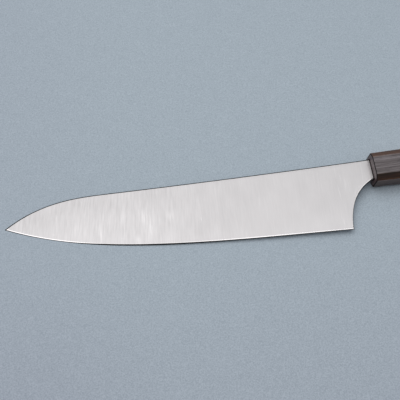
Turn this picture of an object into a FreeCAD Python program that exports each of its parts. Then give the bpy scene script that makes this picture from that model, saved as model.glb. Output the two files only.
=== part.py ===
"""A chef knife with a 240 mm blade and an eight-sided wooden handle, lying on its side.

The knife is drawn about the handle's axis, with zero at the handle's front face: X runs from
the point to the butt, Y from the edge to the spine, and Z is the thickness. Every piece then
gets one shift, which puts the knife's bounding box over the origin, on the plane Z = 0.
"""
import FreeCAD, Part
import math
import os

import Sketcher

DIMENSIONS = {
    # the blade's outline, as distances from the handle's front face and axis
    "reach": 261.1,  # where the spine and the edge would meet
    "point_blunt": 0.4,  # how much of that sharp corner is worn off
    "point_depth": 9.27,
    "heel_setback": 22.3,
    "heel_depth": 42.05,
    "neck_half": 7.5,
    "neck_rise": 0.54,  # how far the neck's middle sits above the handle's axis
    "spine_fall": 0.0043,  # the spine's slope towards the point
    "spine_sag": 0.45,  # how far it dips below that slope
    "spine_dip": 170.0,  # the length it dips over; ahead of that it rises again
    "nose_start": 190.0,  # where the spine starts to curve down
    "nose_power": 2.72,
    "belly_lift": 10.7,  # the straight part of the edge's rise
    "belly_power": 4.53,  # how late the rest of the rise comes
    "choil_join_back": 18.1,
    "choil_join_depth": 24.25,
    "choil_heel_radius": 52.0,
    # the blade's thickness
    "neck_thick": 2.6,
    "distal_taper": 0.25,
    "point_taper": 0.67,
    "point_power": 12.0,
    "crowding": 1.4,  # how much closer the sections lie towards the point
    "grind_share": 0.25,  # the lower, steeper part of the face
    "grind_swell": 0.1,  # how much the face bulges there
    "grind_root": 10.0,  # depth of the full thickness at the neck
    "bevel_height": 0.8,
    "bevel_thick": 0.35,
    "bevel_ease": 1.0,
    # the hidden tang
    "neck_depth": 6.0,
    "tang_root": 10.4,
    "tang_end": 4.6,
    "tang_thick": 2.4,
    "tang_end_thick": 1.5,
    "tang_reach": 104.0,
    "glue_gap": 0.3,
    "seal_depth": 0.6,
    # the handle
    "handle_length": 142.0,
    "ferrule_length": 27.0,
    "front_half_height": 10.95,
    "front_half_thick": 8.95,
    "front_corner_high": 4.3,  # how much of the height and thickness each corner facet takes
    "front_corner_thick": 3.45,
    "handle_taper": 0.76,  # degrees on each facet, growing towards the butt
    "front_chamfer": 0.6,
    "butt_chamfer": 1.2,
    "slot_depth": 8.0,
    "dowel_radius": 6.5,
    "dowel_end": 70.0,
    "bore_radius": 4.0,
    "bore_end": 108.0,
}

# how many steps the blade's sections take from heel to point
BLADE_STEPS = 14

# how much each facet has moved out where the butt's chamfer starts
GROWTH = "(Dims.handle_length - Dims.butt_chamfer) * tan(Dims.handle_taper * 1 deg)"

FRAME = {
    "x": "(Dims.reach - Dims.point_blunt - Dims.handle_length) / 2",
    "y": f"(Dims.heel_depth - Dims.front_half_height - {GROWTH}) / 2",
    "z": f"Dims.front_half_thick + {GROWTH}",
}


def write_sheet(doc):
    """Every driving dimension in its own cell, under its own name."""
    sheet = doc.addObject("Spreadsheet::Sheet", "Dims")
    for row, (name, value) in enumerate(DIMENSIONS.items(), start=1):
        sheet.set(f"A{row}", name)
        sheet.set(f"B{row}", str(value))
        sheet.setAlias(f"B{row}", name)
    doc.recompute()


def new_body(doc, label):
    """An empty body that sits in the knife's shared frame."""
    body = doc.addObject("PartDesign::Body", label)
    for axis, shift in FRAME.items():
        body.setExpression(f"Placement.Base.{axis}", shift)
    return body


def origin_item(body, role):
    """One of the body's own origin planes or axes."""
    return [item for item in body.Origin.OriginFeatures if item.Role == role][0]


def new_sketch(body, name, plane, offset="0"):
    """A sketch on one of the body's own planes, moved along that plane's normal."""
    sketch = body.newObject("Sketcher::SketchObject", name)
    sketch.AttachmentSupport = [(origin_item(body, plane), "")]
    sketch.MapMode = "FlatFace"
    sketch.setExpression("AttachmentOffset.Base.z", offset)
    return sketch


def pin_point(sketch, geometry, end, across, up, start=FreeCAD.Vector(1, 1, 0)):
    """Ties one end of a piece of sketch geometry to two expressions, from a starting point."""
    pins = (("DistanceX", across, start.x), ("DistanceY", up, start.y))
    for kind, expression, value in pins:
        constraint = sketch.addConstraint(Sketcher.Constraint(kind, -1, 1, geometry, end, value))
        sketch.setExpression(f"Constraints[{constraint}]", expression)


def draw_polygon(sketch, corners):
    """A closed polygon whose corners are pairs of expressions."""
    count = len(corners)
    start = sketch.GeometryCount
    ring = [
        FreeCAD.Vector(math.cos(math.tau * n / count), math.sin(math.tau * n / count), 0)
        for n in range(count)
    ]
    for n in range(count):
        sketch.addGeometry(Part.LineSegment(ring[n], ring[(n + 1) % count]), False)
    for n in range(count):
        following = start + (n + 1) % count
        sketch.addConstraint(Sketcher.Constraint("Coincident", start + n, 2, following, 1))
    for n, (across, up) in enumerate(corners):
        pin_point(sketch, start + n, 1, across, up)
    return sketch


def draw_rectangle(sketch, half_width, half_height, middle="0"):
    """A rectangle centred on the sketch's upright axis, its middle moved across by an expression."""
    corners = [("+", ""), ("-", ""), ("-", "-"), ("+", "-")]
    return draw_polygon(
        sketch, [(f"{middle} {a} ({half_width})", f"{b}({half_height})") for a, b in corners]
    )


def draw_round(body, name, station, radius):
    """A circle about the handle's axis, at a station inside the handle."""
    sketch = new_sketch(body, name, "YZ_Plane", station)
    circle = Part.Circle(FreeCAD.Vector(0, 0, 0), FreeCAD.Vector(0, 0, 1), 1.0)
    geometry = sketch.addGeometry(circle, False)
    sketch.addConstraint(Sketcher.Constraint("Coincident", geometry, 3, -1, 1))
    constraint = sketch.addConstraint(Sketcher.Constraint("Radius", geometry, 1.0))
    sketch.setExpression(f"Constraints[{constraint}]", radius)
    return sketch


def loft(body, name, sketches, cut=False, ruled=True):
    """A loft through sketches in order, added to the body or cut from it."""
    kind = "PartDesign::SubtractiveLoft" if cut else "PartDesign::AdditiveLoft"
    feature = body.newObject(kind, name)
    feature.Profile = (sketches[0], [""])
    feature.Sections = [(sketch, [""]) for sketch in sketches[1:]]
    feature.Ruled = ruled
    return feature


def extrude(body, name, sketch, length, cut=False, reverse=False, both_ways=False):
    """A pad or a pocket of the given length."""
    feature = body.newObject("PartDesign::Pocket" if cut else "PartDesign::Pad", name)
    feature.Profile = (sketch, [""])
    feature.setExpression("Length", length)
    feature.Reversed = reverse
    if both_ways:
        feature.SideType = "Symmetric"
    return feature


# ---- the blade -------------------------------------------------------------------------


def blade_station(away):
    """Expressions for the blade's section at a distance from the handle's face."""
    share = f"({away}) / Dims.reach"
    nose = f"(({away}) - Dims.nose_start) / (Dims.reach - Dims.nose_start)"
    top = "Dims.neck_half + Dims.neck_rise"

    def back(distance):
        """The spine's height at a distance, before the nose curves down."""
        part = f"({distance}) / Dims.spine_dip"
        return f"({top} - Dims.spine_fall * ({distance}) - Dims.spine_sag * 4 * {part} * (1 - {part}))"

    nose_drop = f"({back('Dims.reach')} + Dims.point_depth)"
    spine = (
        f"({back(away)} - {nose_drop}"
        f" * (({away}) > Dims.nose_start ? pow({nose}; Dims.nose_power) : 0))"
    )
    belly = f"(({away}) - Dims.heel_setback) / (Dims.reach - Dims.heel_setback)"
    tip_lift = "(Dims.heel_depth - Dims.point_depth - Dims.belly_lift)"
    edge = (
        f"(({away}) > Dims.heel_setback ? Dims.belly_lift * {belly}"
        f" + {tip_lift} * pow({belly}; Dims.belly_power) - Dims.heel_depth"
        f" : -Dims.heel_depth)"
    )
    tall = f"({spine} - {edge})"
    thick = (
        f"Dims.neck_thick * (1 - Dims.distal_taper * {share}"
        f" - Dims.point_taper * pow({share}; Dims.point_power))"
    )
    ease = f"{tall} / ({tall} + Dims.bevel_ease)"
    bevel_thick = f"(Dims.bevel_thick * {ease})"
    bevel = f"({edge} + Dims.bevel_height * {ease})"
    middle = f"({bevel} + Dims.grind_share * ({spine} - {bevel}))"
    swell = "(Dims.grind_share + Dims.grind_swell)"
    middle_thick = f"({bevel_thick} + {swell} * ({thick} - {bevel_thick}))"
    return {
        "spine": spine,
        "edge": edge,
        "thick": thick,
        "bevel": bevel,
        "bevel_thick": bevel_thick,
        "middle": middle,
        "middle_thick": middle_thick,
    }


def draw_blade_section(body, name, away, neck=False):
    """The blade's section: spine, a bulge low on each face, and the cutting bevel."""
    part = blade_station(away)
    if neck:
        part["middle"] = "-Dims.grind_root"
        part["middle_thick"] = part["thick"]
    side = [
        (part["spine"], part["thick"]),
        (part["middle"], part["middle_thick"]),
        (part["bevel"], part["bevel_thick"]),
    ]
    upper = [(height, f"({thick}) / 2") for height, thick in side]
    lower = [(height, f"-({thick}) / 2") for height, thick in reversed(side)]
    sketch = new_sketch(body, name, "YZ_Plane", f"-({away})")
    return draw_polygon(sketch, [*upper, (part["edge"], "0"), *lower])


def draw_choil(body):
    """The waste behind the heel, bounded by the choil's two arcs that join smoothly."""
    sketch = new_sketch(body, "ChoilSketch", "XY_Plane")
    heel = FreeCAD.Vector(-DIMENSIONS["heel_setback"], -DIMENSIONS["heel_depth"], 0)
    join = FreeCAD.Vector(-DIMENSIONS["choil_join_back"], -DIMENSIONS["choil_join_depth"], 0)
    neck = FreeCAD.Vector(0, DIMENSIONS["neck_rise"] - DIMENSIONS["neck_half"], 0)
    bulge = FreeCAD.Vector(-1, 1, 0)
    lower = sketch.addGeometry(Part.Arc(join, (heel + join) / 2 + bulge, heel), False)
    upper = sketch.addGeometry(Part.Arc(neck, (join + neck) / 2 + bulge * 2, join), False)
    pins = [
        (lower, 2, "-Dims.heel_setback", "-Dims.heel_depth", heel),
        (lower, 1, "-Dims.choil_join_back", "-Dims.choil_join_depth", join),
        (upper, 1, "0", "Dims.neck_rise - Dims.neck_half", neck),
    ]
    for pin in pins:
        pin_point(sketch, *pin)
    sketch.addConstraint(Sketcher.Constraint("Tangent", upper, 2, lower, 1))
    radius = DIMENSIONS["choil_heel_radius"]
    constraint = sketch.addConstraint(Sketcher.Constraint("Radius", lower, radius))
    sketch.setExpression(f"Constraints[{constraint}]", "Dims.choil_heel_radius")
    return sketch, lower, upper


def close_choil(sketch, lower, upper):
    """Three straight lines that close the waste outside the blade."""
    clear = 5.0
    below = -DIMENSIONS["heel_depth"] - clear
    corners = [
        FreeCAD.Vector(0, DIMENSIONS["neck_rise"] - DIMENSIONS["neck_half"], 0),
        FreeCAD.Vector(0, below, 0),
        FreeCAD.Vector(-DIMENSIONS["heel_setback"], below, 0),
        FreeCAD.Vector(-DIMENSIONS["heel_setback"], -DIMENSIONS["heel_depth"], 0),
    ]
    lines = [
        sketch.addGeometry(Part.LineSegment(first, second), False)
        for first, second in zip(corners, corners[1:])
    ]
    joins = [
        (upper, 1, lines[0], 1),
        (lines[0], 2, lines[1], 1),
        (lines[1], 2, lines[2], 1),
        (lines[2], 2, lower, 2),
    ]
    for join in joins:
        sketch.addConstraint(Sketcher.Constraint("Coincident", *join))
    sketch.addConstraint(Sketcher.Constraint("Vertical", lines[0]))
    sketch.addConstraint(Sketcher.Constraint("Horizontal", lines[1]))
    sketch.addConstraint(Sketcher.Constraint("Vertical", lines[2]))
    sketch.addConstraint(Sketcher.Constraint("DistanceY", lines[2], 1, lines[2], 2, clear))


def tang_half(station, part="tang_root", end="tang_end", gap="0"):
    """Half the tang's height or thickness at a station inside the handle, plus a gap."""
    share = f"(({station}) - Dims.neck_depth) / (Dims.tang_reach - Dims.neck_depth)"
    return f"(Dims.{part} - (Dims.{part} - Dims.{end}) * {share}) / 2 + {gap}"


def draw_tang_section(body, name, station, gap="0"):
    """The tang's rectangle at a station inside the handle."""
    sketch = new_sketch(body, name, "YZ_Plane", station)
    thick = tang_half(station, "tang_thick", "tang_end_thick", gap)
    return draw_rectangle(sketch, tang_half(station, gap=gap), thick)


def draw_neck_section(body, name, station, gap="0"):
    """The neck's rectangle where it enters the handle's face."""
    sketch = new_sketch(body, name, "YZ_Plane", station)
    half = (f"Dims.neck_half + {gap}", f"Dims.neck_thick / 2 + {gap}")
    return draw_rectangle(sketch, *half, middle="Dims.neck_rise")


def make_blade(doc):
    """Blade, neck and hidden tang, in one piece of steel."""
    body = new_body(doc, "blade")
    length = "(Dims.reach - Dims.point_blunt - Dims.heel_setback)"
    sections = []
    for n in range(BLADE_STEPS + 1):
        to_go = f"pow({1 - n / BLADE_STEPS}; Dims.crowding)"
        away = f"Dims.heel_setback + {length} * (1 - {to_go})"
        sections.append(draw_blade_section(body, f"Section{n}", away))
    loft(body, "Blade", sections, ruled=False)
    root = draw_blade_section(body, "RootSection", "0", neck=True)
    loft(body, "Plunge", [sections[0], root])
    sketch, lower, upper = draw_choil(body)
    close_choil(sketch, lower, upper)
    extrude(body, "Choil", sketch, "4 * Dims.neck_thick", cut=True, both_ways=True)
    neck = draw_neck_section(body, "NeckSection", "0")
    extrude(body, "Neck", neck, "Dims.neck_depth")
    tang_root = draw_tang_section(body, "TangRoot", "Dims.neck_depth")
    tang_end = draw_tang_section(body, "TangEnd", "Dims.tang_reach")
    body.Tip = loft(body, "Tang", [tang_root, tang_end])
    return body


# ---- the handle ------------------------------------------------------------------------


def draw_octagon(body, name, station):
    """The handle's section at its front face, drawn at any station."""
    high, thick = "Dims.front_half_height", "Dims.front_half_thick"
    quarter = [(high, f"{thick} - Dims.front_corner_thick")]
    quarter += [(f"{high} - Dims.front_corner_high", thick)]
    corners = [*quarter]
    corners += [(f"-({across})", up) for across, up in reversed(quarter)]
    corners += [(f"-({across})", f"-({up})") for across, up in quarter]
    corners += [(across, f"-({up})") for across, up in reversed(quarter)]
    return draw_polygon(new_sketch(body, name, "YZ_Plane", station), corners)


def add_octagon(doc, body, start, length):
    """An octagonal bar whose eight facets all spread from their size at the front face."""
    bar = extrude(body, "Bar", draw_octagon(body, "BarSketch", start), length)
    doc.recompute()
    facets = [
        f"Face{number}"
        for number, face in enumerate(bar.Shape.Faces, start=1)
        if abs(face.normalAt(0, 0).x) < 1e-6
    ]
    taper = body.newObject("PartDesign::Draft", "Taper")
    taper.Base = (bar, facets)
    taper.NeutralPlane = (origin_item(body, "YZ_Plane"), [""])
    taper.PullDirection = (origin_item(body, "X_Axis"), [""])
    taper.setExpression("Angle", "Dims.handle_taper * 1 deg")
    taper.Reversed = True
    doc.recompute()  # a new draft settles on its second recompute; chamfer_end does that one
    return taper


def chamfer_end(doc, body, base, station, size):
    """Breaks the outer edges of the end face that lies at one station."""
    doc.recompute()
    names = [
        f"Edge{number}"
        for number, edge in enumerate(base.Shape.Edges, start=1)
        if all(abs(vertex.Point.x - station) < 1e-6 for vertex in edge.Vertexes)
    ]
    chamfer = body.newObject("PartDesign::Chamfer", "EndChamfer")
    chamfer.Base = (base, names)
    chamfer.setExpression("Size", size)


def make_ferrule(doc):
    """The handle's front collar: a slot for the neck, and a bore behind it for the dowel."""
    body = new_body(doc, "ferrule")
    outside = add_octagon(doc, body, "0", "Dims.ferrule_length")
    chamfer_end(doc, body, outside, 0, "Dims.front_chamfer")
    slot = draw_neck_section(body, "SlotSketch", "0", gap="Dims.glue_gap")
    extrude(body, "Slot", slot, "Dims.slot_depth", cut=True, reverse=True)
    bore = draw_round(body, "BoreSketch", "Dims.slot_depth", "Dims.dowel_radius")
    length = "Dims.ferrule_length - Dims.slot_depth"
    body.Tip = extrude(body, "Bore", bore, length, cut=True, reverse=True)
    return body


def make_handle_body(doc):
    """The grip: a tapered octagon, bored for the dowel and more narrowly for the tang."""
    body = new_body(doc, "handle_body")
    length = "Dims.handle_length - Dims.ferrule_length"
    outside = add_octagon(doc, body, "Dims.ferrule_length", length)
    chamfer_end(doc, body, outside, DIMENSIONS["handle_length"], "Dims.butt_chamfer")
    for name, radius, end in (
        ("DowelBore", "Dims.dowel_radius", "Dims.dowel_end"),
        ("TangBore", "Dims.bore_radius", "Dims.bore_end"),
    ):
        circle = draw_round(body, f"{name}Sketch", "Dims.ferrule_length", radius)
        length = f"{end} - Dims.ferrule_length"
        body.Tip = extrude(body, name, circle, length, cut=True, reverse=True)
    return body


def make_core_dowel(doc):
    """The round dowel that joins ferrule and grip, slotted along its length for the tang."""
    body = new_body(doc, "core_dowel")
    circle = draw_round(body, "RoundSketch", "Dims.slot_depth", "Dims.dowel_radius")
    extrude(body, "Round", circle, "Dims.dowel_end - Dims.slot_depth")
    front = draw_tang_section(body, "SlotFront", "Dims.slot_depth", gap="Dims.glue_gap")
    back = draw_tang_section(body, "SlotBack", "Dims.dowel_end", gap="Dims.glue_gap")
    body.Tip = loft(body, "TangSlot", [front, back], cut=True)
    return body


def make_tang_bedding(doc):
    """The glue that fills the slot, the dowel and the tang's bore around the steel."""
    body = new_body(doc, "tang_bedding")
    mouth = draw_neck_section(body, "MouthSketch", "Dims.seal_depth", gap="Dims.glue_gap")
    extrude(body, "Mouth", mouth, "Dims.slot_depth - Dims.seal_depth")
    front = draw_tang_section(body, "SleeveFront", "Dims.slot_depth", gap="Dims.glue_gap")
    back = draw_tang_section(body, "SleeveBack", "Dims.dowel_end", gap="Dims.glue_gap")
    loft(body, "Sleeve", [front, back])
    bore = draw_round(body, "PlugSketch", "Dims.dowel_end", "Dims.bore_radius")
    extrude(body, "Plug", bore, "Dims.bore_end - Dims.dowel_end")
    neck = draw_neck_section(body, "NeckSketch", "Dims.seal_depth")
    length = "Dims.neck_depth - Dims.seal_depth"
    extrude(body, "NeckSpace", neck, length, cut=True, reverse=True)
    tang_root = draw_tang_section(body, "TangRoot", "Dims.neck_depth")
    tang_end = draw_tang_section(body, "TangEnd", "Dims.tang_reach")
    body.Tip = loft(body, "TangSpace", [tang_root, tang_end], cut=True)
    return body


def make_mouth_seal(doc):
    """The thin ring of sealer that keeps water out of the slot, flush with the face."""
    body = new_body(doc, "mouth_seal")
    outer = draw_neck_section(body, "RingSketch", "0", gap="Dims.glue_gap")
    extrude(body, "Ring", outer, "Dims.seal_depth")
    inner = draw_neck_section(body, "NeckSketch", "0")
    body.Tip = extrude(body, "NeckSpace", inner, "Dims.seal_depth", cut=True, reverse=True)
    return body


# ---- checks and export -----------------------------------------------------------------


def check(doc, bodies):
    """Stops if any feature failed or any piece isn't one sound solid."""
    broken = [item.Name for item in doc.Objects if {"Invalid", "Error"} & set(item.State)]
    if broken:
        raise RuntimeError(f"these features failed: {broken}")
    for body in bodies:
        shape = body.Shape
        if shape.isNull() or not shape.isValid() or len(shape.Solids) != 1:
            raise RuntimeError(f"{body.Label} isn't one sound solid")


def main():
    doc = FreeCAD.newDocument("chef_knife")
    write_sheet(doc)
    makers = (
        make_blade,
        make_ferrule,
        make_handle_body,
        make_core_dowel,
        make_tang_bedding,
        make_mouth_seal,
    )
    bodies = [maker(doc) for maker in makers]
    doc.recompute()
    check(doc, bodies)
    os.makedirs("parts", exist_ok=True)
    for body in bodies:
        body.Shape.exportStep(f"parts/{body.Label}.step")
        print(f"{body.Label}: {body.Shape.Volume:.1f} mm3")


main()
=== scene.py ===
"""The chef knife's looks: satin-ground steel, dark polished wood, and the light it lies in.

Shapes are worked out in millimetres about the handle's axis, with zero at the handle's front
face: X runs from the point to the butt, Y from the edge to the spine, Z up from the blade's
flat. KNIFE_ZERO puts them in the row's frame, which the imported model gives.
"""
import math

import bmesh
import bpy
import numpy as np
from mathutils import Euler, Matrix, Vector


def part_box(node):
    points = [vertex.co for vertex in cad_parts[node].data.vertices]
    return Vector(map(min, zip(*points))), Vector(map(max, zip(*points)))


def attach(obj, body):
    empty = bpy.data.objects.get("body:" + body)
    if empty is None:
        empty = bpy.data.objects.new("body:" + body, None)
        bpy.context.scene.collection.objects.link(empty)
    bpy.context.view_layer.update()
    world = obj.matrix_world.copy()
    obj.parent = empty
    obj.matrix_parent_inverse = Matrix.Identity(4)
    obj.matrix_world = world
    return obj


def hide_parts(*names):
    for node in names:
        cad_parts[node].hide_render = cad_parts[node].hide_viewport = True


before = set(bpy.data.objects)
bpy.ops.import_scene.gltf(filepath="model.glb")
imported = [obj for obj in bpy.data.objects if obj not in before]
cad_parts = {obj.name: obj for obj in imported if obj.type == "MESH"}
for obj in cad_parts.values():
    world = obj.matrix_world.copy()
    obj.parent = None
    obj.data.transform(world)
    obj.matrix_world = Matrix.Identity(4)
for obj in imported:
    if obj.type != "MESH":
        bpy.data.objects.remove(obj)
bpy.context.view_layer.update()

MM = 0.001

# ---- the knife's sizes, in millimetres -------------------------------------------------

REACH = 261.1  # from the handle's front face to the point, were it sharp
POINT_BLUNT = 0.4
POINT_DEPTH = 9.27
HEEL = (-22.3, -42.05)
CHOIL_JOIN = (-18.1, -24.25)  # where the choil's two arcs meet
CHOIL_HEEL_RADIUS = 52.0
NECK_LOW, NECK_HIGH = -6.96, 8.04
NECK_DEPTH = 6.0  # how far the full neck goes into the handle
SPINE_FALL = 0.0043  # the spine's slope towards the point
SPINE_SAG = 0.45  # how far it dips below that slope
SPINE_DIP = 170.0  # the length it dips over; ahead of that it rises again
NOSE_START = 190.0
NOSE_POWER = 2.72
BELLY_LIFT = 10.7
BELLY_POWER = 4.53
NECK_THICK = 2.6
DISTAL_TAPER = 0.25
POINT_TAPER = 0.67
POINT_POWER = 12.0
BEVEL_HEIGHT = 0.8
BEVEL_THICK = 0.35
GRIND_SWELL = 0.7
MOST_LEAN = -0.17  # how far the grinding lines follow the belly's curve
FULL_THICK_SHARE = 0.65  # at the neck, how far up the face it is full
SPINE_ROUND = 0.7
CHOIL_ROUND = 0.4
TANG_END = 104.0
TANG_HALF = ((5.2, 1.2), (2.3, 0.75))  # half height and half thickness, root and end

HANDLE_LENGTH = 142.0
FERRULE_LENGTH = 27.0
FRONT_HALF = (10.95, 8.95)  # half height and half thickness of the handle's front
FRONT_CORNER = (4.3, 3.45)  # how much of the height and thickness a corner facet takes
TAPER = math.tan(math.radians(0.76))
SLOT_HALF = (7.8, 1.6)
SLOT_DEPTH = 8.0
SEAL_DEPTH = 0.6
DOWEL_BORE = (6.5, 70.0)  # radius, and how far in it ends
TANG_BORE = (4.0, 108.0)
FRONT_ROUND = 0.35
BUTT_ROUND = 1.2
ARRIS_ROUND = 0.25
SEAM_ROUND = 0.2
BEAD_OUT = 0.3  # how far the sealer spreads on the face
BEAD_RISE = 0.5  # and how far it rises along the neck
BEAD_SHOULDER = 0.25  # how full its slope is
BEAD_BITE = 0.1  # how far its inside lies within the neck
BEAD_SINK = 0.05  # and its foot within the ferrule

ferrule_low, ferrule_high = (Vector(corner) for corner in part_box("ferrule"))
KNIFE_ZERO = (ferrule_low + ferrule_high) / 2
KNIFE_ZERO.x = ferrule_low.x


def placed(point):
    """A point of the knife, from millimetres about the handle's axis to the row's frame."""
    return KNIFE_ZERO + Vector(point) * MM


def metres(pair):
    """A pair of lengths, from millimetres."""
    return [length * MM for length in pair]


def mesh_object(name, points, faces, sharp=()):
    """A smooth-shaded mesh with outward normals; sharp holds pairs of point numbers."""
    mesh = bpy.data.meshes.new(name)
    mesh.from_pydata([placed(point) for point in points], [], faces)
    bm = bmesh.new()
    bm.from_mesh(mesh)
    bmesh.ops.recalc_face_normals(bm, faces=bm.faces)
    for face in bm.faces:
        face.smooth = True
    wanted = {tuple(sorted(pair)) for pair in sharp}
    for edge in bm.edges:
        if tuple(sorted(vertex.index for vertex in edge.verts)) in wanted:
            edge.smooth = False
    bm.to_mesh(mesh)
    bm.free()
    mesh.validate()
    made = bpy.data.objects.new(name, mesh)
    bpy.context.scene.collection.objects.link(made)
    return made


# ---- the blade -------------------------------------------------------------------------

EDGE_STEPS = 170  # stations along the edge
EDGE_CROWD = 1.5  # how much they crowd towards the heel
EDGE_GAP = 1.0  # the least gap left before the heel
CHOIL_STEPS = 22  # stations along each of the choil's arcs
NECK_STEPS = 4
LOW_ROWS = 6  # rows of points up the bevel or round the choil, and round the spine
FACE_ROWS = 22  # rows up the face
QUARTER_TURN = math.radians(90)


def back_y(away):
    """The spine's height at a distance from the handle, before the nose curves down."""
    part = away / SPINE_DIP
    return NECK_HIGH - SPINE_FALL * away - SPINE_SAG * 4 * part * (1 - part)


def spine_y(x):
    nose = max(0.0, (-x - NOSE_START) / (REACH - NOSE_START))
    drop = back_y(REACH) + POINT_DEPTH
    return back_y(max(0.0, -x)) - drop * nose**NOSE_POWER


def edge_y(x):
    along = max(0.0, (-x + HEEL[0]) / (REACH + HEEL[0]))
    lift = -HEEL[1] - POINT_DEPTH - BELLY_LIFT
    return HEEL[1] + BELLY_LIFT * along + lift * along**BELLY_POWER


def bevel_ease(x):
    """The cutting bevel narrows where the blade does, towards the point."""
    tall = spine_y(x) - edge_y(x)
    return tall / (tall + 1.0)


def grinding_foot(x, y):
    """Where on the edge the grinding line through a point starts, square to the edge there."""
    at = min(x, HEEL[0])
    slope = max(MOST_LEAN, edge_y(at) - edge_y(at - 1.0))
    return x + slope * (y - edge_y(x))


def half_thickness(x, y):
    """Half the blade's thickness at a point of its face, above the cutting bevel."""
    share = max(0.0, -x) / REACH
    thick = NECK_THICK * (1 - DISTAL_TAPER * share - POINT_TAPER * share**POINT_POWER)
    low = edge_y(x) + BEVEL_HEIGHT * bevel_ease(x)
    up = min(1.0, max(0.0, (y - low) / (spine_y(x) - low)))
    swelled = up + GRIND_SWELL * up * (1 - up) ** 2
    full = min(1.0, up / FULL_THICK_SHARE)
    plunge = min(1.0, max(0.0, 1 - x / HEEL[0]))
    rise = (1 - plunge) * swelled + plunge * full
    behind_edge = BEVEL_THICK * bevel_ease(x)
    return (behind_edge + rise * (thick - behind_edge)) / 2


def choil_points(count):
    """Points along the choil's two tangent arcs, from just above the heel to the neck."""
    heel, join, neck = Vector(HEEL), Vector(CHOIL_JOIN), Vector((0.0, NECK_LOW))
    chord = join - heel
    away = Vector((chord.y, -chord.x)).normalized()
    rise = math.sqrt(CHOIL_HEEL_RADIUS**2 - (chord.length / 2) ** 2)
    lower = (heel + join) / 2 + away * rise
    inward = (lower - join).normalized()
    radius = (neck - join).length_squared / (2 * (neck - join).dot(inward))
    upper = join + inward * radius
    points = []
    for centre, first, last, r in (
        (lower, heel, join, CHOIL_HEEL_RADIUS),
        (upper, join, neck, radius),
    ):
        begin = math.atan2(*reversed(first - centre))
        end = math.atan2(*reversed(last - centre))
        begin, end = begin % math.tau, end % math.tau
        for n in range(1, count + 1):
            angle = begin + (end - begin) * n / count
            points.append((centre.x + r * math.cos(angle), centre.y + r * math.sin(angle)))
    return points


def inward_normals(line, side):
    """Unit normals of a polyline, to its left (side 1) or right (side -1)."""
    line = np.array(line)
    along = np.gradient(line, axis=0)
    normal = np.stack([-along[:, 1], along[:, 0]], axis=1) * side
    return normal / np.linalg.norm(normal, axis=1, keepdims=True)


def blade_outline():
    """Facing points along the blade's lower and upper borders, and the heel's number."""
    run = REACH - POINT_BLUNT + HEEL[0]
    edge = []
    for n in range(EDGE_STEPS):
        x = HEEL[0] - run * (1 - n / EDGE_STEPS) ** EDGE_CROWD
        edge.append((x, edge_y(x)))
    while edge[-1][0] > HEEL[0] - EDGE_GAP:
        edge.pop()
    choil = choil_points(CHOIL_STEPS)
    neck = [(NECK_DEPTH * n / NECK_STEPS, NECK_LOW) for n in range(1, NECK_STEPS + 1)]
    bottom = [*edge, HEEL, *choil, *neck]
    over_choil = [HEEL[0] * (1 - n / len(choil)) for n in range(len(choil) + 1)]
    top = [(x, spine_y(x)) for x, _ in edge]
    top += [(x, spine_y(x)) for x in over_choil]
    top += [(x, NECK_HIGH) for x, _ in neck]
    return bottom, top, len(edge)


def half_section(low, high, up, down, cutting):
    """Points up one side of the blade's section: bevel or choil, face, and rounded spine.

    up and down point from the lower and the upper border into the face.
    """
    low, high = np.array(low), np.array(high)
    inset = BEVEL_HEIGHT * bevel_ease(low[0]) if cutting else CHOIL_ROUND
    foot = low + up * inset
    foot_half = half_thickness(*foot)
    fillet = min(SPINE_ROUND, 0.85 * half_thickness(*high), 0.25 * math.dist(low, high))
    head = high + down * fillet
    half = []
    for k in range(LOW_ROWS):
        if cutting:
            share = k / LOW_ROWS
            half.append((*(low + (foot - low) * share), foot_half * share))
            continue
        round_off = min(CHOIL_ROUND, 0.85 * foot_half)
        turn = QUARTER_TURN * max(0, k - 1) / (LOW_ROWS - 1)
        spot = foot - up * inset * math.cos(turn)
        height = 0.0 if k == 0 else foot_half - round_off * (1 - math.sin(turn))
        half.append((*spot, height))
    for k in range(FACE_ROWS + 1):
        spot = foot + (head - foot) * k / FACE_ROWS
        half.append((*spot, half_thickness(*spot)))
    head_half = half[-1][2]
    for k in range(1, LOW_ROWS):
        turn = QUARTER_TURN * k / (LOW_ROWS - 1)
        spot = head - down * fillet * math.sin(turn)
        half.append((*spot, head_half - fillet * (1 - math.cos(turn))))
    half.append((*high, 0.0))
    return half


def tang_sections(neck):
    """One side of the hidden tang's section at its root and at its end."""
    sections = []
    for station, (high, thick) in zip((NECK_DEPTH, TANG_END), TANG_HALF):
        half = []
        for _, y, z in neck:
            share = (y - NECK_LOW) / (NECK_HIGH - NECK_LOW)
            half.append((station, high * (2 * share - 1), thick * z / neck[LOW_ROWS + 1][2]))
        sections.append(half)
    return sections


def blade_faces(count, around, heel_at):
    """Faces between the rings, with both ends capped, and the edges that stay sharp."""
    faces, sharp = [], []
    for n in range(count - 1):
        for k in range(around):
            nxt = (k + 1) % around
            here, on = n * around, (n + 1) * around
            faces.append((here + k, here + nxt, on + nxt, on + k))
        if n < heel_at:
            sharp += [(n * around + k, (n + 1) * around + k) for k in (0, LOW_ROWS, around - LOW_ROWS)]
    for k in range(around):
        nxt = (k + 1) % around
        for n in (0, count - 3, count - 2, count - 1):
            sharp.append((n * around + k, n * around + nxt))
        if k < LOW_ROWS or k >= around - LOW_ROWS:
            sharp.append((heel_at * around + k, heel_at * around + nxt))
    faces.append(tuple(range(around)))
    faces.append(tuple((count - 1) * around + k for k in range(around)))
    return faces, sharp


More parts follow.
